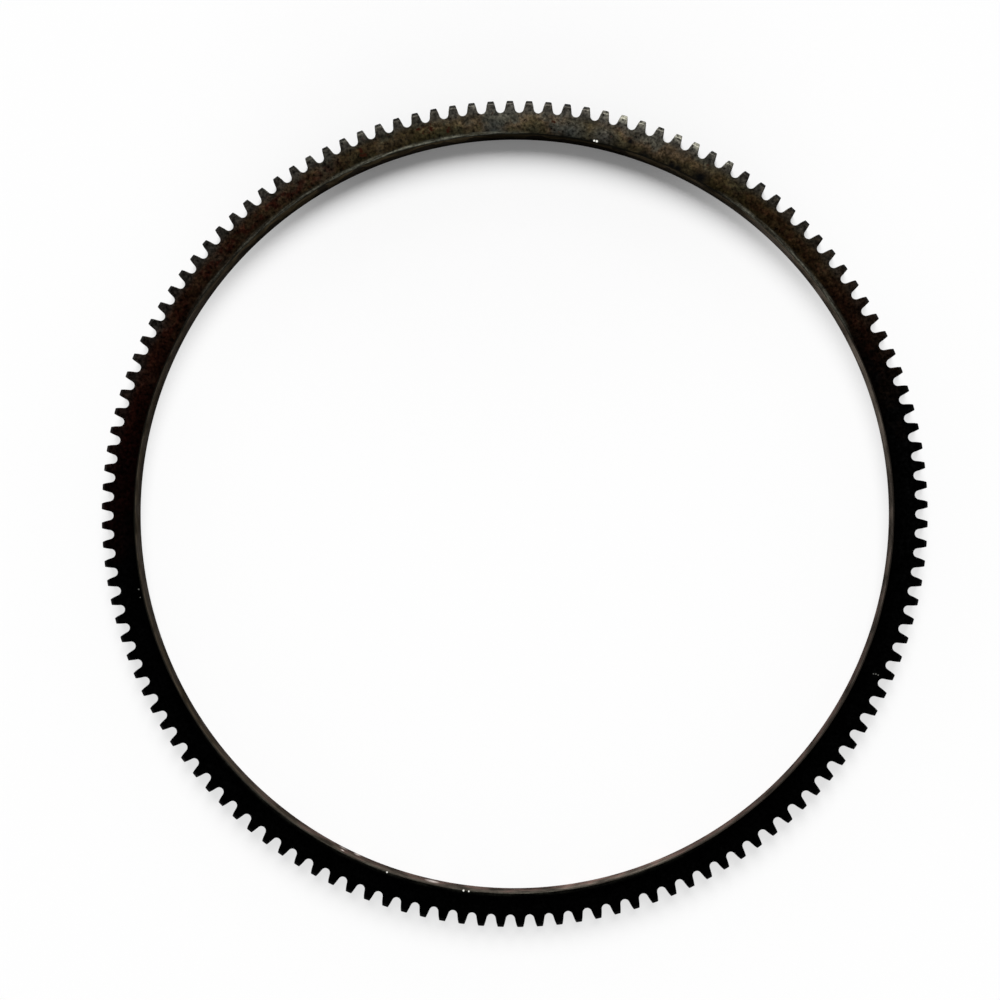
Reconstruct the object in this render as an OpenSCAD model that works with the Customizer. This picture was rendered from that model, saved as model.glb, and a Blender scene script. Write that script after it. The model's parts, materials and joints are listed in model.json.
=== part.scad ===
// Starter ring gear: one flat steel ring with spur teeth round its rim, made to be shrunk
// onto the edge of a flywheel by its bore. It lies on its plain rear face, with the bevelled
// ends of the teeth upwards. The origin is the centre of the bore in the plane of the rear
// face, +Z runs along the bore, and a tooth is centred on +X.

/* [Teeth] */
// Number of teeth round the rim
teeth = 133; // [90:1:180]
// Module: the pitch diameter divided by the number of teeth (mm)
gear_module = 2.5; // [2:0.25:4]
// Pressure angle of the flanks at the pitch circle (degrees)
pressure_angle = 13; // [12:0.5:20]
// Height of the tooth tips above the pitch circle (mm)
tip_height = 2.5; // [1.8:0.1:3]
// Depth of the gaps below the pitch circle (mm)
gap_depth = 2.7; // [2:0.1:3.2]
// How much thinner than its gap's share each tooth is at the pitch circle, to run free (mm)
backlash = 0.23; // [0:0.01:0.6]

/* [Tooth ends] */
// Length of tooth taken by the bevel on the front ends, measured in from the tip (mm)
bevel_height = 1.5; // [0.5:0.1:2.5]
// How far the bevel drops below the front face at the tip (mm)
bevel_drop = 0.8; // [0.2:0.1:2]

/* [Ring] */
// Wall of solid ring between the bore and the bottoms of the gaps (mm)
rim_wall = 9.05; // [5:0.05:20]
// Width of the ring along its axis (mm)
face_width = 10; // [6:0.5:25]
// Chamfer on both edges of the bore (mm)
bore_chamfer = 0.6; // [0.2:0.1:2]

/* [Hidden] */
blackened_steel = [0.20, 0.18, 0.16];

// Circles of the gear
pitch_r = teeth * gear_module / 2;
base_r = pitch_r * cos(pressure_angle);
tip_r = pitch_r + tip_height;
root_r = pitch_r - gap_depth;
bore_r = root_r - rim_wall;

// Width of a tooth at the pitch circle, along the arc
tooth_w = PI * gear_module / 2 - backlash;
// Angle between two neighbouring teeth (degrees)
tooth_angle = 360 / teeth;

// Straight steps along each flank
flank_steps = 3;
// How far a gap's cutter runs past the tips and the faces
overcut = 1;
// How far the flanks' lower ends lie inside the round bottom of the gap, so that they cross it
flank_tuck = 0.005;

// Involute function of an angle in degrees, as an angle in degrees
function involute(angle) = tan(angle) * 180 / PI - angle;

// Angle from the middle of a gap to where a flank would start on the base circle
flank_start = tooth_angle / 2 - tooth_w / pitch_r * 90 / PI - involute(pressure_angle);

// Distance from a point in the middle of a gap, at the given radius, to either flank
function flank_distance(radius) =
    base_r * (flank_start + involute(acos(base_r / radius))) * PI / 180;

// Radius at which a circle that touches the root circle touches both flanks as well, settled
// in passes that each bring it closer
function settle(radius, passes = 16) =
    passes == 0 ? radius : settle(root_r + flank_distance(radius), passes - 1);

// Centre and radius of the round bottom of a gap
round_c = settle(pitch_r);
round_r = round_c - root_r;

// Angles through which the flank's string unwinds, where it leaves the round bottom and past the tip
unwind_low = acos(base_r / round_c) - flank_start;
unwind_high = tan(acos(base_r / (tip_r + overcut))) * 180 / PI;

// Point on the flank above the middle of a gap that lies on +X
function flank_point(unwind) =
    let (turn = flank_start + unwind, string = base_r * unwind * PI / 180)
    [base_r * cos(turn) + string * sin(turn), base_r * sin(turn) - string * cos(turn) - flank_tuck];

// Outline of one gap: both flanks and the round bottom between them
module gap_outline() {
    upper = [
        for (i = [0:flank_steps])
            flank_point(unwind_low + (unwind_high - unwind_low) * i / flank_steps)
    ];
    lower = [for (i = [flank_steps:-1:0]) [upper[i].x, -upper[i].y]];
    translate([round_c, 0])
        circle(r = round_r, $fn = 48);
    polygon(concat(upper, lower));
}

// Cutter for one gap, in the middle between the tooth on +X and the next
module gap_cutter() {
    rotate(tooth_angle / 2)
        translate([0, 0, -overcut])
            linear_extrude(height = face_width + 2 * overcut)
                gap_outline();
}

// Turned ring before its teeth are cut, with the bevel and both bore chamfers
module turned_blank() {
    rotate_extrude($fn = 266)
        polygon([
            [bore_r + bore_chamfer, 0],
            [tip_r, 0],
            [tip_r, face_width - bevel_drop],
            [tip_r - bevel_height, face_width],
            [bore_r + bore_chamfer, face_width],
            [bore_r, face_width - bore_chamfer],
            [bore_r, bore_chamfer]
        ]);
}

module ring_gear() {
    color(blackened_steel)
        difference() {
            turned_blank();
            for (i = [0:teeth - 1])
                rotate(i * tooth_angle)
                    gap_cutter();
        }
}

ring_gear();
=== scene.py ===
# Looks of a starter ring gear: one flat ring of blackened steel with spur teeth round its rim.
# It lies on a white floor with the bevelled ends of its teeth upwards, seen from above.

import json
import math

import bmesh
import bpy
from mathutils import Matrix, Vector


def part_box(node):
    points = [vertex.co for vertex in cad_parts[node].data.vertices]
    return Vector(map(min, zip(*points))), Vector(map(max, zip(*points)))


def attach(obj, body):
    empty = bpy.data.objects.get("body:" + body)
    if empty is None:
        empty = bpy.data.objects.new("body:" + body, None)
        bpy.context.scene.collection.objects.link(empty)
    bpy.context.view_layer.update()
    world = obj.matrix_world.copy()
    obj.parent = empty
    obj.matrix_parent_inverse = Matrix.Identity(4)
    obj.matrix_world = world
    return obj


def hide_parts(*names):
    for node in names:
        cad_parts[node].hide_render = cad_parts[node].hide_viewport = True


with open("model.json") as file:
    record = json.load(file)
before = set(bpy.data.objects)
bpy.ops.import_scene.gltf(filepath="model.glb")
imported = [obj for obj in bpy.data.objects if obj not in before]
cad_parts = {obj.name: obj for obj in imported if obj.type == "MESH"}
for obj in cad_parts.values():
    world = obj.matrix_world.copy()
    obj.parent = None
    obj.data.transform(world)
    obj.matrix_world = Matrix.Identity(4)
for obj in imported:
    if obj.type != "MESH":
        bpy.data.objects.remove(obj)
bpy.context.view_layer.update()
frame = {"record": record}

MM = 0.001

# Sizes of the ring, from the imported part
low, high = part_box("ring_gear")
WIDTH = high.z - low.z
TIP_R = high.x
bore = next(m for m in frame["record"]["mounts"] if m["name"] == "bore")
BORE_R = bore["dims"]["r_mm"] * MM
CHAMFER = (WIDTH - bore["dims"]["length_mm"] * MM) / 2

# Sizes of the teeth, as the part has them
TEETH = 133
MODULE = 2.5 * MM
GAP_DEPTH = 2.7 * MM
BACKLASH = 0.23 * MM
PRESSURE_ANGLE = math.radians(13)
BEVEL_HEIGHT = 1.5 * MM
BEVEL_DROP = 0.8 * MM

# Circles and angles that follow from them
PITCH_R = TEETH * MODULE / 2
ROOT_R = PITCH_R - GAP_DEPTH
BASE_R = PITCH_R * math.cos(PRESSURE_ANGLE)
CREASE_R = TIP_R - BEVEL_HEIGHT
TOOTH_W = math.pi * MODULE / 2 - BACKLASH
TOOTH_ANGLE = 2 * math.pi / TEETH

# Straight steps round the bottom of a gap and round the worn edge of the bore
BOTTOM_STEPS = 5
EDGE_STEPS = 4

# Wear: rounding on every sharp edge, loss on the front of the tips, waver of the bore's front edge
EDGE_ROUND = 0.28 * MM
TIP_WEAR = 0.2 * MM
BORE_EDGE_WAVER = 0.3 * MM
WEAR_SEED = 7

# Floor and backdrop, and how far the floor lies below the ring
FLOOR_R = 30
FLOOR_GAP = 0.02 * MM
BACKDROP_R = 16
BACKDROP_HEIGHT = 5
STAGE_SIDES = 96

# Shares of the floor's white that do not come from the lamps, which keep the shadow light: at the
# ring's top, where the smaller share paints the shadow deeper as painted shade, and away from it,
# and the distances between which one fades to the other
GLOW_AT_TOP = 0.1
GLOW_AWAY = 0.7
GLOW_FADE = (50 * MM, 170 * MM)

# Colours that both materials show where metal is worn bare, with a painted highlight along the
# bore's edge, or freshly nicked
BARE_STEEL_AND_HIGHLIGHT = "#88887a"
NICKED_STEEL = "#f0efe8"

# Direction in which the bloom is strongest, which is also the side painted lighter as lit, and arcs
# of the front face and the tips, as middle, full and faded degrees: palest bloom with a painted
# highlight, dark red mottling and rubbed tips on either side
BLOOM_AND_LIT_SIDE = (-0.17, 0.985, 0)
BLOOM_HIGHLIGHT_ARC = (79, 12, 25)
RED_LEFT_ARC = (140, 14, 30)
RED_RIGHT_ARC = (40, 8, 24)
RUBBED_LEFT_ARC = (114, 4, 8)
RUBBED_RIGHT_ARC = (66.5, 4, 12.5)

# Arcs of the bore's wall, in the same way: pinkish brown, rusty, and dusty
PINK_ARC = (285, 35, 85)
RUSTY_ARC = (312, 35, 130)
DUSTY_ARC = (172, 22, 40)

# Arcs where the bore's front edge is worn bare and painted with a highlight, as middle, full and
# faded degrees, and how bare and bright
BARE_AND_LIT_EDGE_ARCS = ((101, 9, 16, 0.4), (120, 14, 32, 0.55), (41, 8, 16, 0.75), (258, 20, 50, 0.25))

# Arcs where the bore's wall is painted paler or darker as light and shade, as middle, full and
# faded degrees, and how light
WALL_LIGHT_AND_SHADE_ARCS = (
    (30, 12, 26, 2.0), (83, 8, 14, 0.5), (118, 18, 26, 1.35),
    (285, 6, 10, 1.75), (322, 14, 22, 0.75),
)

# Marks on the ring, as angle in degrees, and radius, height and size in mm: nicks that show bright
# metal, faint scratches, pale patches in the bore, dark scuffs near it, blued patches, and rust
NICKS = (
    (76.05, 155.35, 9.9, 0.6), (76.45, 155.35, 9.9, 0.5),
    (262.3, 155.2, 9.8, 0.5), (263.1, 155.2, 9.8, 0.45), (250.5, 155.2, 9.8, 0.45),
)
SCRATCHES = (
    (191.25, 156.1, 10, 0.45), (192.5, 156.2, 10, 0.3),
    (334.97, 160.5, 10, 0.35), (335.08, 161.4, 10, 0.4), (335.09, 162.4, 10, 0.35),
)
PALE_PATCHES = (
    (257.3, 154.5, 5.2, 3.4), (245.2, 154.5, 2.5, 2.0),
    (242.9, 154.5, 2.5, 2.4), (243, 154.5, 8, 1.0),
)
SCUFFS = (
    (76.95, 155.4, 10, 1), (71.2, 158.8, 10, 2), (68.5, 154.6, 10, 3.5),
    (64.1, 155.6, 10, 2.4), (63.2, 155.6, 10, 2.4), (59.5, 156.5, 10, 5),
)
BLUED = ((80.1, 157, 10, 8), (75.2, 157.5, 10, 7), (91.7, 156, 10, 6))
RUST = ((101.2, 159.9, 10, 4), (102.3, 160, 10, 3.5), (98.6, 158.6, 10, 2.5), (111.9, 159.7, 10, 3))


def linear(hex_colour):
    """Linear colour of an sRGB hex value."""
    parts = [int(hex_colour[i:i + 2], 16) / 255 for i in (1, 3, 5)]
    return [p / 12.92 if p <= 0.04045 else ((p + 0.055) / 1.055) ** 2.4 for p in parts] + [1.0]


def add_node(tree, kind, sockets=None, **settings):
    """Adds a node with its settings. A socket takes a value, or a link if given an output."""
    node = tree.nodes.new(kind)
    for name, value in settings.items():
        setattr(node, name, value)
    for name, value in (sockets or {}).items():
        if isinstance(value, bpy.types.NodeSocket):
            tree.links.new(value, node.inputs[name])
        else:
            node.inputs[name].default_value = value
    return node


# Tooth shape

def involute(angle):
    return math.tan(angle) - angle


# Angle from the middle of a gap to where a flank would start on the base circle
FLANK_START = TOOTH_ANGLE / 2 - TOOTH_W / PITCH_R / 2 - involute(PRESSURE_ANGLE)


def round_bottom_centre():
    """Radius at which a circle that touches the root circle touches both flanks as well."""
    centre = PITCH_R
    passes = 16
    for _ in range(passes):
        centre = ROOT_R + BASE_R * (FLANK_START + involute(math.acos(BASE_R / centre)))
    return centre


def flank_point(radius):
    """Point on the flank at that radius, with the middle of the gap on +X."""
    unwind = math.sqrt((radius / BASE_R) ** 2 - 1)
    angle = FLANK_START + unwind - math.atan(unwind)
    return Vector((radius * math.cos(angle), radius * math.sin(angle)))


def tooth_outline():
    """Outline of the tooth on +X, from the middle of one gap over the tip to that of the next."""
    centre = round_bottom_centre()
    unwind = math.acos(BASE_R / centre) - FLANK_START
    touch_r = BASE_R * math.sqrt(1 + unwind ** 2)
    touch = flank_point(touch_r)
    touch_angle = math.atan2(touch.y, touch.x - centre)
    half = []
    for i in range(BOTTOM_STEPS + 1):
        angle = math.pi + (touch_angle - math.pi) * i / BOTTOM_STEPS
        direction = Vector((math.cos(angle), math.sin(angle)))
        half.append(Vector((centre, 0)) + (centre - ROOT_R) * direction)
    half += [flank_point(r) for r in ((touch_r + CREASE_R) / 2, CREASE_R, TIP_R)]
    turn = Matrix.Rotation(-TOOTH_ANGLE / 2, 2)
    half = [turn @ point for point in half]
    return half + [Vector((TIP_R, 0))] + [Vector((p.x, -p.y)) for p in reversed(half)]


def tooth_sector():
    """Mesh of the slice of ring that carries one tooth, open at its two cuts. Wear has rounded the
    bore's front chamfer."""
    mesh = bpy.data.meshes.new("tooth_sector")
    bm = bmesh.new()
    outline = tooth_outline()
    last = len(outline) - 1
    rear = [bm.verts.new((p.x, p.y, 0)) for p in outline]
    front = []
    for p in outline:
        drop = max(0, p.length - CREASE_R) * BEVEL_DROP / BEVEL_HEIGHT
        front.append(bm.verts.new((p.x, p.y, WIDTH - drop)))
    for i in range(last):
        bm.faces.new((rear[i], rear[i + 1], front[i + 1], front[i]))
    # A narrow flat strip on either side of the rounded edge keeps its shading off wall and face
    strip = 0.2 * MM
    bore_profile = [(BORE_R + CHAMFER, 0), (BORE_R, CHAMFER), (BORE_R, WIDTH - CHAMFER - strip)]
    for i in range(EDGE_STEPS + 1):
        turn = math.pi / 2 * i / EDGE_STEPS
        back = CHAMFER * (1 - math.cos(turn))
        down = CHAMFER * (1 - math.sin(turn))
        bore_profile.append((BORE_R + back, WIDTH - down))
    bore_profile.append((BORE_R + CHAMFER + strip, WIDTH))
    angles = (-TOOTH_ANGLE / 2, 0, TOOTH_ANGLE / 2)
    hoops = []
    for radius, z in bore_profile:
        hoop = [(radius * math.cos(a), radius * math.sin(a), z) for a in angles]
        hoops.append([bm.verts.new(point) for point in hoop])
    for below, above in zip(hoops, hoops[1:]):
        for i in range(2):
            bm.faces.new((below[i + 1], below[i], above[i], above[i + 1]))
    bm.faces.new(hoops[0] + rear[::-1])
    near = 0.001 * MM
    crease = [i for i, p in enumerate(outline) if abs(p.length - CREASE_R) < near]
    bm.faces.new(front[crease[0]:crease[1] + 1])
    bm.faces.new(front[:crease[0] + 1] + front[crease[1]:] + hoops[-1][::-1])
    for face in bm.faces:
        face.smooth = True
    bm.to_mesh(mesh)
    bm.free()
    return mesh


def ring_of_teeth():
    """Node tree that turns one tooth's slice round the bore and wears its edges unevenly."""
    tree = bpy.data.node_groups.new("ring_of_teeth", "GeometryNodeTree")
    tree.is_modifier = True
    names = {}
    for name, kind in (
        ("Slice", "Geometry"), ("Teeth", "Int"), ("Crease Radius", "Float"),
        ("Bore Radius", "Float"), ("Face Radius", "Float"), ("Width", "Float"),
        ("Tip Wear", "Float"), ("Bore Edge Waver", "Float"), ("Wear Seed", "Int"),
        ("Steel", "Material"), ("Bore Steel", "Material"),
    ):
        socket = tree.interface.new_socket(name, in_out="INPUT", socket_type="NodeSocket" + kind)
        names[name] = socket.identifier
    tree.interface.new_socket("Ring", in_out="OUTPUT", socket_type="NodeSocketGeometry")
    given = add_node(tree, "NodeGroupInput").outputs

    # One slice for each tooth, each turned a step further
    index = add_node(tree, "GeometryNodeInputIndex").outputs[0]
    step = add_node(tree, "ShaderNodeMath", {
        0: 2 * math.pi, 1: given["Teeth"]}, operation="DIVIDE").outputs[0]
    turn = add_node(tree, "ShaderNodeMath", {0: index, 1: step}, operation="MULTIPLY").outputs[0]
    turned = add_node(tree, "FunctionNodeAxisAngleToRotation", {
        "Axis": (0, 0, 1), "Angle": turn}).outputs[0]
    points = add_node(tree, "GeometryNodePoints", {"Count": given["Teeth"]}).outputs[0]
    slices = add_node(tree, "GeometryNodeInstanceOnPoints", {
        "Points": points, "Instance": given["Slice"], "Rotation": turned}).outputs[0]

    # A chance value on each tooth says how far its tip has been rubbed
    chance = add_node(tree, "FunctionNodeRandomValue", {
        "Seed": given["Wear Seed"]}, data_type="FLOAT").outputs[1]
    marked = add_node(tree, "GeometryNodeStoreNamedAttribute", {
        "Geometry": slices, "Name": "tip_rub", "Value": chance},
        data_type="FLOAT", domain="INSTANCE").outputs[0]
    loose = add_node(tree, "GeometryNodeRealizeInstances", {"Geometry": marked}).outputs[0]
    ring = add_node(tree, "GeometryNodeMergeByDistance", {
        "Geometry": loose, "Distance": 0.01 * MM}).outputs[0]

    # Which points lie on the front tips and on the front edge of the bore
    place = add_node(tree, "GeometryNodeInputPosition").outputs[0]
    flat = add_node(tree, "ShaderNodeVectorMath", {
        0: place, 1: (1, 1, 0)}, operation="MULTIPLY").outputs[0]
    radius = add_node(tree, "ShaderNodeVectorMath", {0: flat}, operation="LENGTH").outputs["Value"]
    outward = add_node(tree, "ShaderNodeVectorMath", {0: flat}, operation="NORMALIZE").outputs[0]
    height = add_node(tree, "ShaderNodeSeparateXYZ", {0: place}).outputs["Z"]
    middle = add_node(tree, "ShaderNodeMath", {
        0: given["Width"], 1: 0.5}, operation="MULTIPLY").outputs[0]
    upper = add_node(tree, "FunctionNodeCompare", {
        0: height, 1: middle}, operation="GREATER_THAN").outputs[0]
    outer = add_node(tree, "FunctionNodeCompare", {
        0: radius, 1: given["Crease Radius"]}, operation="GREATER_THAN").outputs[0]
    on_tip = add_node(tree, "FunctionNodeBooleanMath", {
        0: upper, 1: outer}, operation="AND").outputs[0]
    inner_limit = add_node(tree, "ShaderNodeMath", {
        0: given["Bore Radius"], 1: 1 * MM}, operation="ADD").outputs[0]
    inner = add_node(tree, "FunctionNodeCompare", {
        0: radius, 1: inner_limit}, operation="LESS_THAN").outputs[0]
    on_bore = add_node(tree, "FunctionNodeBooleanMath", {
        0: upper, 1: inner}, operation="AND").outputs[0]

    # Tips are worn in and down by uneven amounts, and the bore's front edge wavers a little
    tip_noise = add_node(tree, "ShaderNodeTexNoise", {
        "Vector": place, "W": given["Wear Seed"], "Scale": 1 / (2 * MM), "Detail": 1.0},
        noise_dimensions="4D").outputs[0]
    tip_loss = add_node(tree, "ShaderNodeMath", {
        0: tip_noise, 1: given["Tip Wear"]}, operation="MULTIPLY").outputs[0]
    inward = add_node(tree, "ShaderNodeVectorMath", {
        0: outward, 1: (-0.2, -0.2, 0)}, operation="MULTIPLY").outputs[0]
    inward_down = add_node(tree, "ShaderNodeVectorMath", {
        0: inward, 1: (0, 0, -1)}, operation="ADD").outputs[0]
    tip_move = add_node(tree, "ShaderNodeVectorMath", {
        0: inward_down, "Scale": tip_loss}, operation="SCALE").outputs[0]
    worn = add_node(tree, "GeometryNodeSetPosition", {
        "Geometry": ring, "Selection": on_tip, "Offset": tip_move}).outputs[0]
    edge_noise = add_node(tree, "ShaderNodeTexNoise", {
        "Vector": place, "W": given["Wear Seed"], "Scale": 1 / (6 * MM), "Detail": 2.0},
        noise_dimensions="4D").outputs[0]
    edge_shift = add_node(tree, "ShaderNodeMath", {
        0: edge_noise, 1: -0.5}, operation="ADD").outputs[0]
    edge_waver = add_node(tree, "ShaderNodeMath", {
        0: edge_shift, 1: given["Bore Edge Waver"]}, operation="MULTIPLY").outputs[0]
    edge_move = add_node(tree, "ShaderNodeVectorMath", {
        0: outward, "Scale": edge_waver}, operation="SCALE").outputs[0]
    wavered = add_node(tree, "GeometryNodeSetPosition", {
        "Geometry": worn, "Selection": on_bore, "Offset": edge_move}).outputs[0]

    # The bore and its chamfers take one material, and the rest of the ring the other
    blackened = add_node(tree, "GeometryNodeSetMaterial", {
        "Geometry": wavered, "Material": given["Steel"]}).outputs[0]
    in_bore = add_node(tree, "FunctionNodeCompare", {
        0: radius, 1: given["Face Radius"]}, operation="LESS_THAN").outputs[0]
    done = add_node(tree, "GeometryNodeSetMaterial", {
        "Geometry": blackened, "Selection": in_bore, "Material": given["Bore Steel"]}).outputs[0]
    add_node(tree, "NodeGroupOutput", {0: done})
    return tree, names


# Materials

def empty_material(name):
    """New material and its node tree, cleared."""
    material = bpy.data.materials.new(name)
    material.use_nodes = True
    material.node_tree.nodes.clear()
    return material, material.node_tree


def ring_place(tree):
    """Object coordinates, distance from the axis, direction out from it, and height above the
    rear face."""
    place = add_node(tree, "ShaderNodeTexCoord").outputs["Object"]
    flat = add_node(tree, "ShaderNodeVectorMath", {
        0: place, 1: (1, 1, 0)}, operation="MULTIPLY").outputs[0]
    radius = add_node(tree, "ShaderNodeVectorMath", {0: flat}, operation="LENGTH").outputs["Value"]
    outward = add_node(tree, "ShaderNodeVectorMath", {0: flat}, operation="NORMALIZE").outputs[0]
    height = add_node(tree, "ShaderNodeSeparateXYZ", {0: place}).outputs["Z"]
    return place, radius, outward, height


def arc_share(tree, outward, middle, full, none):
    """Share that is 1 within some degrees of the middle of an arc and fades to 0 further off."""
    towards = (math.cos(math.radians(middle)), math.sin(math.radians(middle)), 0)
    side = add_node(tree, "ShaderNodeVectorMath", {
        0: outward, 1: towards}, operation="DOT_PRODUCT").outputs["Value"]
    return add_node(tree, "ShaderNodeMapRange", {
        0: side, 1: math.cos(math.radians(none)), 2: math.cos(math.radians(full))},
        interpolation_type="SMOOTHSTEP").outputs[0]


def turning_streaks(tree, radius, outward, height, length, spacing):
    """Noise drawn out round the ring, as turning and sliding leave it."""
    across = add_node(tree, "ShaderNodeMath", {0: radius, 1: height}, operation="ADD").outputs[0]
    along = add_node(tree, "ShaderNodeVectorMath", {
        0: outward, "Scale": BORE_R / length}, operation="SCALE").outputs[0]
    laid = add_node(tree, "ShaderNodeVectorMath", {
        0: across, 1: (0, 0, 1 / spacing), 2: along}, operation="MULTIPLY_ADD").outputs[0]
    return add_node(tree, "ShaderNodeTexNoise", {
        "Vector": laid, "Scale": 1.0, "Detail": 3.0, "Roughness": 0.6}).outputs[0]


def spots(tree, place, marks, core):
    """Share that is 1 in the core of each round mark and fades to 0 at its edge."""
    share = None
    for angle, radius, height, size in marks:
        turn = math.radians(angle)
        middle = Vector((radius * math.cos(turn), radius * math.sin(turn), height)) * MM
        away = add_node(tree, "ShaderNodeVectorMath", {
            0: place, 1: middle}, operation="DISTANCE").outputs["Value"]
        mark = add_node(tree, "ShaderNodeMapRange", {
            0: away, 1: size * MM, 2: core * size * MM}).outputs[0]
        if share:
            mark = add_node(tree, "ShaderNodeMath", {
                0: share, 1: mark}, operation="MAXIMUM").outputs[0]
        share = mark
    return share


def bare_edge_and_highlight(tree, place, radius, outward, height):
    """Share of bare metal along the front edge of the bore, in uneven streaks on some arcs, which
    also paint the edge's highlight, and share of the nicks."""
    streak = turning_streaks(tree, radius, outward, height, 9 * MM, 0.8 * MM)
    share = add_node(tree, "ShaderNodeMapRange", {0: streak, 1: 0.4, 2: 0.68, 3: 0.12}).outputs[0]
    worn = 0.0
    # These arcs say where the bare streaks also paint the edge's highlight
    for middle, full, none, bareness_and_highlight in BARE_AND_LIT_EDGE_ARCS:
        arc = arc_share(tree, outward, middle, full, none)
        worn = add_node(tree, "ShaderNodeMath", {
            0: arc, 1: bareness_and_highlight, 2: worn}, operation="MULTIPLY_ADD").outputs[0]
    outside = add_node(tree, "ShaderNodeMapRange", {
        0: radius, 1: BORE_R + 0.05 * MM, 2: BORE_R + 0.35 * MM}).outputs[0]
    inside = add_node(tree, "ShaderNodeMapRange", {
        0: radius, 1: BORE_R + 2.2 * MM, 2: BORE_R + 0.4 * MM},
        interpolation_type="SMOOTHSTEP").outputs[0]
    pits = add_node(tree, "ShaderNodeTexNoise", {
        "Vector": place, "Scale": 1 / (1.2 * MM), "Detail": 3.0, "Roughness": 0.7}).outputs[0]
    pitted = add_node(tree, "ShaderNodeMapRange", {0: pits, 1: 0.35, 2: 0.6, 3: 0.35}).outputs[0]
    front = add_node(tree, "ShaderNodeMapRange", {
        0: height, 1: WIDTH / 2, 2: WIDTH / 2 + 1 * MM}).outputs[0]
    for part in (worn, outside, inside, pitted, front):
        share = add_node(tree, "ShaderNodeMath", {
            0: share, 1: part}, operation="MULTIPLY").outputs[0]
    nicks = spots(tree, place, NICKS, 0.6)
    return share, nicks


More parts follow.
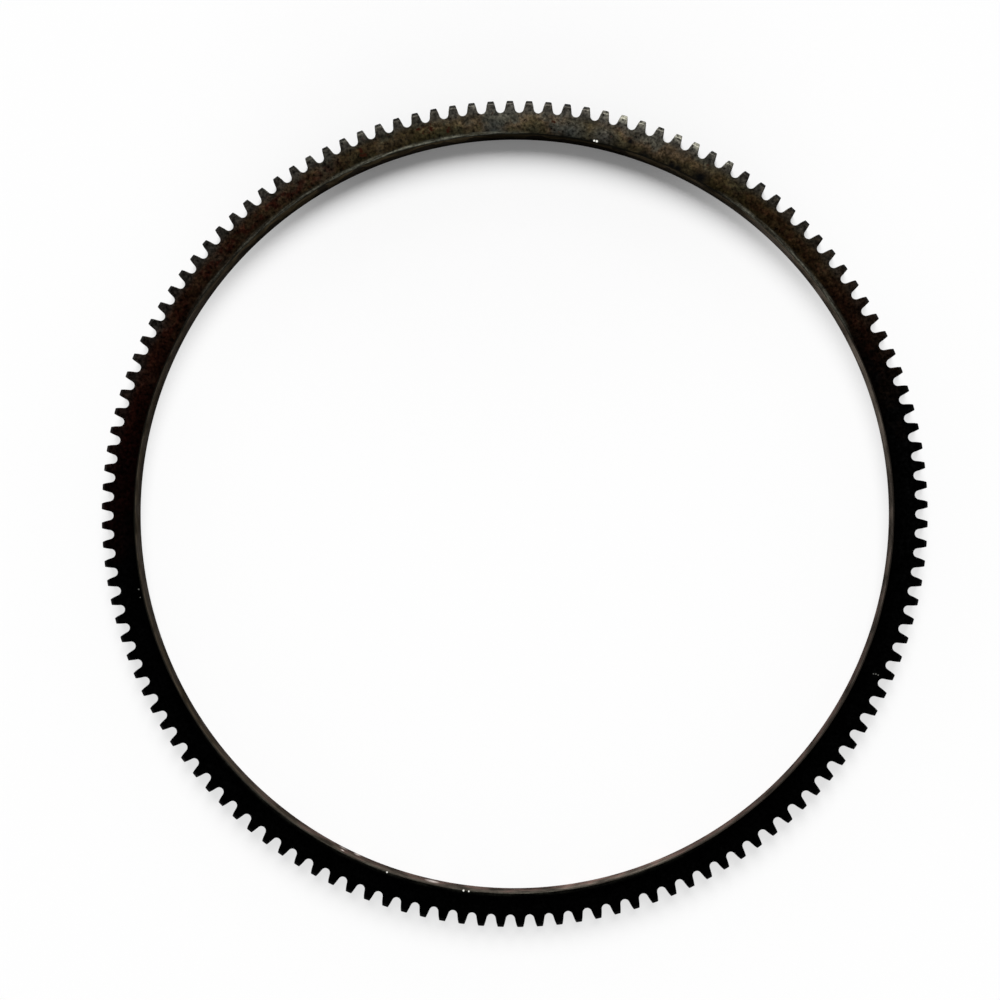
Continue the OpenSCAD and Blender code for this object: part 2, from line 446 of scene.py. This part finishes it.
def blackened_steel():
    """Heat-blackened and oiled steel: a satin black skin. On one side of the ring a bloom of
    brown, olive and blue-grey has come through it, edged with dark red, and the tips there are
    rubbed bright. That side is also painted lighter as the lit side, with a painted highlight on
    its palest arc, and the plain black of the far side is partly painted shade."""
    material, tree = empty_material("blackened_steel")
    place, radius, outward, height = ring_place(tree)

    # Patches about 14 mm across, clouds of 4 mm, and a grain of scale flakes, which is finer on the
    # real skin and is drawn 1.4 mm across so that it shows
    blotch = add_node(tree, "ShaderNodeTexNoise", {
        "Vector": place, "Scale": 1 / (14 * MM), "Detail": 4.0, "Roughness": 0.6}).outputs[0]
    cloud = add_node(tree, "ShaderNodeTexNoise", {
        "Vector": place, "Scale": 1 / (4 * MM), "Detail": 3.0, "Roughness": 0.6}).outputs[0]
    grain = add_node(tree, "ShaderNodeTexNoise", {
        "Vector": place, "Scale": 1 / (1.4 * MM), "Detail": 3.0, "Roughness": 0.7}).outputs[0]

    # Colours of the bloom: olive near the bore, brown and grey further out, with blued patches
    inner = add_node(tree, "ShaderNodeMapRange", {
        0: radius, 1: BORE_R + 1 * MM, 2: ROOT_R - 2 * MM, 3: -0.07, 4: 0.05}).outputs[0]
    olive_inside = add_node(tree, "ShaderNodeMath", {
        0: blotch, 1: inner}, operation="ADD").outputs[0]
    hue = add_node(tree, "ShaderNodeValToRGB", {0: olive_inside})
    for position, colour in (
        (0.40, "#27261d"), (0.47, "#2b261b"), (0.54, "#332b22"), (0.64, "#2c2b27"),
    ):
        stop = hue.color_ramp.elements.new(position)
        stop.color = linear(colour)
    hue.color_ramp.elements.remove(hue.color_ramp.elements[0])
    hue.color_ramp.elements.remove(hue.color_ramp.elements[-1])
    heat = spots(tree, place, BLUED, 0.1)
    blued = add_node(tree, "ShaderNodeMix", {
        0: heat, 6: hue.outputs[0], 7: linear("#2a2c2b")}, data_type="RGBA").outputs[2]

    # Away from the palest arc the bloom turns olive on the right and red-brown on the left
    sideways = add_node(tree, "ShaderNodeSeparateXYZ", {0: outward}).outputs["X"]
    left = add_node(tree, "ShaderNodeMapRange", {0: sideways, 1: 0.2, 2: -0.5}).outputs[0]
    bloom_highlight_arc = arc_share(tree, outward, *BLOOM_HIGHLIGHT_ARC)
    flank = add_node(tree, "ShaderNodeMix", {
        0: left, 4: (0.82, 0.96, 0.61), 5: (0.95, 0.84, 0.69)}, data_type="VECTOR").outputs[1]
    tint = add_node(tree, "ShaderNodeMix", {
        0: bloom_highlight_arc, 4: flank, 5: (1, 1, 0.92)}, data_type="VECTOR").outputs[1]
    bloomed = add_node(tree, "ShaderNodeVectorMath", {
        0: blued, 1: tint}, operation="MULTIPLY").outputs[0]

    # The bloom covers the +Y side and thins out to dark brown or dark red and then to plain black,
    # which also paints that side lighter as lit and the far side black as shade
    side = add_node(tree, "ShaderNodeVectorMath", {
        0: outward, 1: BLOOM_AND_LIT_SIDE}, operation="DOT_PRODUCT").outputs["Value"]
    drift = add_node(tree, "ShaderNodeMapRange", {
        0: blotch, 1: 0.3, 2: 0.7, 3: -0.12, 4: 0.12}).outputs[0]
    spread = add_node(tree, "ShaderNodeMath", {0: side, 1: drift}, operation="ADD").outputs[0]
    tinge = add_node(tree, "ShaderNodeMapRange", {0: spread, 1: 0.05, 2: 0.55}).outputs[0]
    bloom = add_node(tree, "ShaderNodeMapRange", {0: spread, 1: 0.35, 2: 1.0}).outputs[0]
    edging = add_node(tree, "ShaderNodeMix", {
        0: left, 6: linear("#24160c"), 7: linear("#240a06")}, data_type="RGBA").outputs[2]

    # The black is deepest on the front face, and the flanks, tips and rear keep a dark grey sheen
    off_face = add_node(tree, "ShaderNodeMapRange", {
        0: height, 1: WIDTH - 0.9 * MM, 2: WIDTH - 2 * MM}).outputs[0]
    black = add_node(tree, "ShaderNodeMix", {
        0: off_face, 6: linear("#060606"), 7: linear("#24231f")}, data_type="RGBA").outputs[2]
    tinged = add_node(tree, "ShaderNodeMix", {
        0: tinge, 6: black, 7: edging}, data_type="RGBA").outputs[2]
    skin = add_node(tree, "ShaderNodeMix", {
        0: bloom, 6: tinged, 7: bloomed}, data_type="RGBA").outputs[2]

    # Dark red mottling 3.5 mm across in the middle of the face, on the left and less on the right
    mottle = add_node(tree, "ShaderNodeTexNoise", {
        "Vector": place, "Scale": 1 / (3.5 * MM), "Detail": 3.0, "Roughness": 0.65}).outputs[0]
    red = add_node(tree, "ShaderNodeMapRange", {0: mottle, 1: 0.44, 2: 0.58}).outputs[0]
    red_left = arc_share(tree, outward, *RED_LEFT_ARC)
    red_right = arc_share(tree, outward, *RED_RIGHT_ARC)
    red_arcs = add_node(tree, "ShaderNodeMath", {
        0: red_right, 1: 0.5, 2: red_left}, operation="MULTIPLY_ADD").outputs[0]
    off_bore = add_node(tree, "ShaderNodeMapRange", {
        0: radius, 1: BORE_R + 2.5 * MM, 2: BORE_R + 3.5 * MM}).outputs[0]
    off_teeth = add_node(tree, "ShaderNodeMapRange", {
        0: radius, 1: ROOT_R - 1 * MM, 2: ROOT_R - 2.5 * MM}).outputs[0]
    for part in (red_arcs, off_bore, off_teeth):
        red = add_node(tree, "ShaderNodeMath", {0: red, 1: part}, operation="MULTIPLY").outputs[0]
    mottled = add_node(tree, "ShaderNodeMix", {
        0: red, 6: skin, 7: linear("#24100a")}, data_type="RGBA").outputs[2]

    # Teeth are greyer than the face, and the face is darker towards the bore
    on_teeth = add_node(tree, "ShaderNodeMapRange", {
        0: radius, 1: ROOT_R - 2.5 * MM, 2: ROOT_R + 1.5 * MM, 4: 0.85},
        interpolation_type="SMOOTHSTEP").outputs[0]
    # Teeth turn greyer only on the bloom side, which is partly painted as lit
    greyed = add_node(tree, "ShaderNodeMapRange", {0: spread, 1: 0.2, 2: 0.7}).outputs[0]
    grey_share = add_node(tree, "ShaderNodeMath", {
        0: on_teeth, 1: greyed}, operation="MULTIPLY").outputs[0]
    toothed = add_node(tree, "ShaderNodeMix", {
        0: grey_share, 6: mottled, 7: linear("#292825")}, data_type="RGBA").outputs[2]
    lightness = add_node(tree, "ShaderNodeMapRange", {
        0: grain, 1: 0.32, 2: 0.72, 3: 0.25, 4: 1.85}).outputs[0]
    patchy = add_node(tree, "ShaderNodeMapRange", {
        0: cloud, 1: 0.35, 2: 0.65, 3: 0.6, 4: 1.4}).outputs[0]
    shade = add_node(tree, "ShaderNodeMapRange", {
        0: radius, 1: BORE_R + 1 * MM, 2: ROOT_R - 3 * MM, 3: 0.4, 4: 1.0}).outputs[0]
    # Painted highlight: the palest arc is lightened by up to half again
    painted_highlight = add_node(tree, "ShaderNodeMapRange", {0: bloom_highlight_arc, 3: 1.0, 4: 1.5}).outputs[0]
    for part in (patchy, shade, painted_highlight):
        lightness = add_node(tree, "ShaderNodeMath", {
            0: lightness, 1: part}, operation="MULTIPLY").outputs[0]
    flaked = add_node(tree, "ShaderNodeVectorMath", {
        0: toothed, "Scale": lightness}, operation="SCALE").outputs[0]

    # Rust in small clusters of grains, and dark scuffs near the bore
    cluster = add_node(tree, "ShaderNodeTexNoise", {
        "Vector": place, "Scale": 1 / (1.8 * MM), "Detail": 2.0, "Roughness": 0.6}).outputs[0]
    damp = spots(tree, place, RUST, 0.1)
    likely = add_node(tree, "ShaderNodeMath", {
        0: damp, 1: 0.3, 2: cluster}, operation="MULTIPLY_ADD").outputs[0]
    dense = add_node(tree, "ShaderNodeMapRange", {0: likely, 1: 0.68, 2: 0.77}).outputs[0]
    rust = add_node(tree, "ShaderNodeMath", {0: dense, 1: bloom}, operation="MULTIPLY").outputs[0]
    rusted = add_node(tree, "ShaderNodeMix", {
        0: rust, 6: flaked, 7: linear("#2b120a")}, data_type="RGBA").outputs[2]
    scuffs = spots(tree, place, SCUFFS, 0.2)
    scuffed = add_node(tree, "ShaderNodeMix", {
        0: scuffs, 6: rusted, 7: linear("#080808")}, data_type="RGBA").outputs[2]

    # Ends of the teeth are greyer still, and some tips on two arcs are rubbed bright. How grey and
    # how bright goes by chance from tooth to tooth
    near_front = add_node(tree, "ShaderNodeMapRange", {
        0: height, 1: WIDTH - 2.5 * MM, 2: WIDTH - 1.2 * MM}).outputs[0]
    tip_end = add_node(tree, "ShaderNodeMapRange", {
        0: radius, 1: TIP_R - 1.8 * MM, 2: TIP_R - 0.7 * MM, 4: 0.75}).outputs[0]
    # The grey tooth ends keep to the bloom side, which is partly painted as lit
    for part in (near_front, tinge):
        tip_end = add_node(tree, "ShaderNodeMath", {
            0: tip_end, 1: part}, operation="MULTIPLY").outputs[0]
    chance = add_node(tree, "ShaderNodeAttribute", attribute_name="tip_rub").outputs["Fac"]
    tip_shade = add_node(tree, "ShaderNodeMapRange", {0: chance, 3: 0.45, 4: 1.2}).outputs[0]
    tip_grey = add_node(tree, "ShaderNodeVectorMath", {
        0: linear("#262624")[:3], "Scale": tip_shade}, operation="SCALE").outputs[0]
    tipped = add_node(tree, "ShaderNodeMix", {
        0: tip_end, 6: scuffed, 7: tip_grey}, data_type="RGBA").outputs[2]
    rub_right = arc_share(tree, outward, *RUBBED_RIGHT_ARC)
    rub_left = arc_share(tree, outward, *RUBBED_LEFT_ARC)
    rub = add_node(tree, "ShaderNodeMath", {
        0: rub_left, 1: 0.15, 2: rub_right}, operation="MULTIPLY_ADD").outputs[0]
    near_tip = add_node(tree, "ShaderNodeMapRange", {
        0: radius, 1: TIP_R - 4.0 * MM, 2: TIP_R - 0.6 * MM}).outputs[0]
    speckle = add_node(tree, "ShaderNodeMapRange", {0: grain, 1: 0.35, 2: 0.6}).outputs[0]
    for part in (near_tip, near_front, chance, speckle):
        rub = add_node(tree, "ShaderNodeMath", {0: rub, 1: part}, operation="MULTIPLY").outputs[0]
    rubbed = add_node(tree, "ShaderNodeMix", {
        0: rub, 6: tipped, 7: linear("#a5a394")}, data_type="RGBA").outputs[2]

    # Bare streaks along the bore's edge, which also paint its highlight, nicks and scratches
    worn, nicks = bare_edge_and_highlight(tree, place, radius, outward, height)
    edged = add_node(tree, "ShaderNodeMix", {
        0: worn, 6: rubbed, 7: linear(BARE_STEEL_AND_HIGHLIGHT)}, data_type="RGBA").outputs[2]
    nicked = add_node(tree, "ShaderNodeMix", {
        0: nicks, 6: edged, 7: linear(NICKED_STEEL)}, data_type="RGBA").outputs[2]
    scratches = spots(tree, place, SCRATCHES, 0.3)
    colour = add_node(tree, "ShaderNodeMix", {
        0: scratches, 6: nicked, 7: linear("#6a6a66")}, data_type="RGBA").outputs[2]

    # Rust, nicks and scratches are rough and dull, and rubbed tips are half-way there
    dull = add_node(tree, "ShaderNodeMath", {0: rust, 1: nicks}, operation="MAXIMUM").outputs[0]
    dull = add_node(tree, "ShaderNodeMath", {0: dull, 1: scratches}, operation="MAXIMUM").outputs[0]
    metal = add_node(tree, "ShaderNodeMapRange", {0: dull, 3: 1.0, 4: 0.1}).outputs[0]
    satin = add_node(tree, "ShaderNodeMapRange", {
        0: grain, 1: 0.3, 2: 0.7, 3: 0.26, 4: 0.4}).outputs[0]
    scratched = add_node(tree, "ShaderNodeMix", {0: rub, 2: satin, 3: 0.6}).outputs[0]
    rough = add_node(tree, "ShaderNodeMix", {0: dull, 2: scratched, 3: 0.85}).outputs[0]
    bump = add_node(tree, "ShaderNodeBump", {
        "Strength": 0.5, "Distance": 0.06 * MM, "Height": grain}).outputs[0]
    shader = add_node(tree, "ShaderNodeBsdfPrincipled", {
        "Base Color": colour, "Metallic": metal, "Roughness": rough,
        "Specular IOR Level": 0.0, "Normal": bump})
    add_node(tree, "ShaderNodeOutputMaterial", {0: shader.outputs[0]})
    return material


def bored_steel():
    """Turned bore, dull with rust and streaked round the ring: nearly black on one side, partly as
    painted shade that lightens towards the front, on the other grey near the front and pinkish
    brown towards the rear. Its chamfer is black, worn to bare steel on some arcs, which also paints
    its highlight. Some arcs of the wall are painted lighter or darker as light and shade."""
    material, tree = empty_material("bored_steel")
    place, radius, outward, height = ring_place(tree)

    # Streaks 10 mm long and 0.6 mm apart, over patches about 9 mm across
    streak = turning_streaks(tree, radius, outward, height, 10 * MM, 0.6 * MM)
    ragged = add_node(tree, "ShaderNodeTexNoise", {
        "Vector": place, "Scale": 1 / (9 * MM), "Detail": 4.0}).outputs[0]
    shift = add_node(tree, "ShaderNodeMapRange", {
        0: ragged, 1: 0.3, 2: 0.7, 3: -5 * MM, 4: 5 * MM}).outputs[0]
    level = add_node(tree, "ShaderNodeMath", {0: height, 1: shift}, operation="ADD").outputs[0]
    rear = add_node(tree, "ShaderNodeMapRange", {
        0: level, 1: 7.5 * MM, 2: 5.5 * MM}, interpolation_type="SMOOTHSTEP").outputs[0]
    pink_side = arc_share(tree, outward, *PINK_ARC)
    pink = add_node(tree, "ShaderNodeMath", {
        0: rear, 1: pink_side}, operation="MULTIPLY").outputs[0]
    rusty = add_node(tree, "ShaderNodeMix", {
        0: pink, 6: linear("#453f39"), 7: linear("#493c37")}, data_type="RGBA").outputs[2]
    # Painted shade: the wall away from the lamp is dark, lighter towards the front edge
    dark = add_node(tree, "ShaderNodeMix", {
        0: rear, 6: linear("#322b1f"), 7: linear("#15120e")}, data_type="RGBA").outputs[2]
    rusty_side = arc_share(tree, outward, *RUSTY_ARC)
    dusty = arc_share(tree, outward, *DUSTY_ARC)
    rusty_share = add_node(tree, "ShaderNodeMath", {
        0: dusty, 1: 0.35, 2: rusty_side}, operation="MULTIPLY_ADD").outputs[0]
    wall = add_node(tree, "ShaderNodeMix", {
        0: rusty_share, 6: dark, 7: rusty}, data_type="RGBA").outputs[2]

    # Pale patches, streaks, grime, and arcs painted paler or darker as light and shade
    patch = spots(tree, place, PALE_PATCHES, 0.2)
    patched = add_node(tree, "ShaderNodeMix", {
        0: patch, 6: wall, 7: linear("#a39a95")}, data_type="RGBA").outputs[2]
    light = add_node(tree, "ShaderNodeMapRange", {
        0: streak, 1: 0.3, 2: 0.7, 3: 0.55, 4: 1.45}).outputs[0]
    grime = add_node(tree, "ShaderNodeMapRange", {
        0: ragged, 1: 0.35, 2: 0.65, 3: 1.6, 4: 0.45}).outputs[0]
    light = add_node(tree, "ShaderNodeMath", {0: light, 1: grime}, operation="MULTIPLY").outputs[0]
    # Painted light and shade on some arcs of the wall
    for middle, full, none, painted_lightness in WALL_LIGHT_AND_SHADE_ARCS:
        arc = arc_share(tree, outward, middle, full, none)
        painted_light = add_node(tree, "ShaderNodeMapRange", {0: arc, 3: 1.0, 4: painted_lightness}).outputs[0]
        light = add_node(tree, "ShaderNodeMath", {
            0: light, 1: painted_light}, operation="MULTIPLY").outputs[0]
    streaked = add_node(tree, "ShaderNodeVectorMath", {
        0: patched, "Scale": light}, operation="SCALE").outputs[0]

    # Black chamfer, worn bare on some arcs with a painted highlight, and the nicks
    on_chamfer = add_node(tree, "ShaderNodeMapRange", {
        0: radius, 1: BORE_R + 0.1 * MM, 2: BORE_R + 0.2 * MM}).outputs[0]
    worn, nicks = bare_edge_and_highlight(tree, place, radius, outward, height)
    black = add_node(tree, "ShaderNodeMix", {
        0: rusty_side, 6: linear("#161612"), 7: linear("#2a2521")}, data_type="RGBA").outputs[2]
    edge = add_node(tree, "ShaderNodeMix", {
        0: worn, 6: black, 7: linear(BARE_STEEL_AND_HIGHLIGHT)}, data_type="RGBA").outputs[2]
    edged = add_node(tree, "ShaderNodeMix", {
        0: on_chamfer, 6: streaked, 7: edge}, data_type="RGBA").outputs[2]
    colour = add_node(tree, "ShaderNodeMix", {
        0: nicks, 6: edged, 7: linear(NICKED_STEEL)}, data_type="RGBA").outputs[2]

    metal = add_node(tree, "ShaderNodeMath", {
        0: on_chamfer, 1: nicks}, operation="SUBTRACT", use_clamp=True).outputs[0]
    bump = add_node(tree, "ShaderNodeBump", {
        "Strength": 0.4, "Distance": 0.05 * MM, "Height": streak}).outputs[0]
    shader = add_node(tree, "ShaderNodeBsdfPrincipled", {
        "Base Color": colour, "Metallic": metal, "Roughness": 0.6,
        "Specular IOR Level": 0.0, "Normal": bump})
    add_node(tree, "ShaderNodeOutputMaterial", {0: shader.outputs[0]})
    return material


def white_board():
    """Matt white studio board with the ring's soft shadow on it, painted deeper near the ring's
    top.
    """
    material, tree = empty_material("white_board")
    path = add_node(tree, "ShaderNodeLightPath").outputs
    seen = add_node(tree, "ShaderNodeMath", {
        0: path["Is Camera Ray"], 1: path["Is Glossy Ray"]}, operation="MAXIMUM").outputs[0]
    seen = add_node(tree, "ShaderNodeMath", {
        0: seen, 1: path["Is Transmission Ray"]}, operation="MAXIMUM").outputs[0]
    place = add_node(tree, "ShaderNodeTexCoord").outputs["Object"]
    from_top = add_node(tree, "ShaderNodeVectorMath", {
        0: place, 1: (0, BORE_R, 0)}, operation="DISTANCE").outputs["Value"]
    # Painted shade: less of the board's own glow near the ring's top deepens the shadow there
    lit = add_node(tree, "ShaderNodeMapRange", {
        0: from_top, 1: GLOW_FADE[0], 2: GLOW_FADE[1], 3: GLOW_AT_TOP, 4: GLOW_AWAY},
        interpolation_type="SMOOTHSTEP").outputs[0]
    share = add_node(tree, "ShaderNodeMath", {0: seen, 1: lit}, operation="MULTIPLY").outputs[0]
    board = add_node(tree, "ShaderNodeBsdfDiffuse", {"Color": linear("#fafafa")}).outputs[0]
    glow = add_node(tree, "ShaderNodeEmission", {"Color": (1, 1, 1, 1), "Strength": 1.0}).outputs[0]
    mixed = add_node(tree, "ShaderNodeMixShader", {0: share, 1: board, 2: glow}).outputs[0]
    add_node(tree, "ShaderNodeOutputMaterial", {0: mixed})
    return material


def pale_backdrop():
    """Evenly lit white wall, far off all round."""
    material, tree = empty_material("pale_backdrop")
    glow = add_node(tree, "ShaderNodeEmission", {"Color": (1, 1, 1, 1), "Strength": 1.0}).outputs[0]
    add_node(tree, "ShaderNodeOutputMaterial", {0: glow})
    return material


# Ring

ring = bpy.data.objects.new("toothed_ring", tooth_sector())
bpy.context.scene.collection.objects.link(ring)
tree, sockets = ring_of_teeth()
turning = ring.modifiers.new("ring_of_teeth", "NODES")
turning.node_group = tree
for name, value in (
    ("Teeth", TEETH), ("Crease Radius", CREASE_R + 0.1 * MM), ("Bore Radius", BORE_R),
    ("Face Radius", BORE_R + CHAMFER), ("Width", WIDTH), ("Tip Wear", TIP_WEAR),
    ("Bore Edge Waver", BORE_EDGE_WAVER), ("Wear Seed", WEAR_SEED),
    ("Steel", blackened_steel()), ("Bore Steel", bored_steel()),
):
    turning[sockets[name]] = value
rounding = ring.modifiers.new("edge_rounding", "BEVEL")
rounding.width = EDGE_ROUND
rounding.segments = 2
rounding.limit_method = "ANGLE"
rounding.angle_limit = math.radians(24)
rounding.harden_normals = True
evaluated = ring.evaluated_get(bpy.context.evaluated_depsgraph_get())
finished = bpy.data.meshes.new_from_object(evaluated)
ring.modifiers.clear()
ring.data = finished
finished.name = "toothed_ring"
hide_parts("ring_gear")
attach(ring, "root")

# Floor and backdrop

floor_mesh = bpy.data.meshes.new("floor")
bm = bmesh.new()
bmesh.ops.create_circle(
    bm, cap_ends=True, segments=STAGE_SIDES, radius=FLOOR_R,
    matrix=Matrix.Translation((0, 0, -FLOOR_GAP)))
bm.to_mesh(floor_mesh)
bm.free()
floor = bpy.data.objects.new("floor", floor_mesh)
floor_mesh.materials.append(white_board())
bpy.context.scene.collection.objects.link(floor)

backdrop_mesh = bpy.data.meshes.new("backdrop")
bm = bmesh.new()
bmesh.ops.create_cone(
    bm, cap_ends=False, segments=STAGE_SIDES, radius1=BACKDROP_R, radius2=BACKDROP_R,
    depth=BACKDROP_HEIGHT, matrix=Matrix.Translation((0, 0, BACKDROP_HEIGHT / 2)))
bm.to_mesh(backdrop_mesh)
bm.free()
backdrop = bpy.data.objects.new("backdrop", backdrop_mesh)
backdrop_mesh.materials.append(pale_backdrop())
bpy.context.scene.collection.objects.link(backdrop)

# Light: one broad soft key from above the top edge

scene = bpy.context.scene
scene.view_settings.view_transform = "Standard"
scene.world = bpy.data.worlds.new("dim_studio")
scene.world.use_nodes = True
scene.world.node_tree.nodes["Background"].inputs["Color"].default_value = (1, 1, 1, 1)
scene.world.node_tree.nodes["Background"].inputs["Strength"].default_value = 0.12

key = bpy.data.lights.new("key", "SUN")
key.energy = 3.5
key.angle = math.radians(40)
key_object = bpy.data.objects.new("key", key)
key_object.rotation_euler = Vector((-0.06, -0.9, -1.0)).to_track_quat("-Z", "Y").to_euler()
scene.collection.objects.link(key_object)

# Camera: nearly straight down, from a little below and to the right of the ring's middle

camera = bpy.data.cameras.new("camera")
camera.sensor_width = 36
camera.lens = 62.72
camera_object = bpy.data.objects.new("camera", camera)
camera_object.location = (28.67 * MM, -23.50 * MM, 719.07 * MM)
camera_object.rotation_euler = [math.radians(a) for a in (2.2005, 2.6705, -0.702)]
scene.collection.objects.link(camera_object)
scene.camera = camera_object
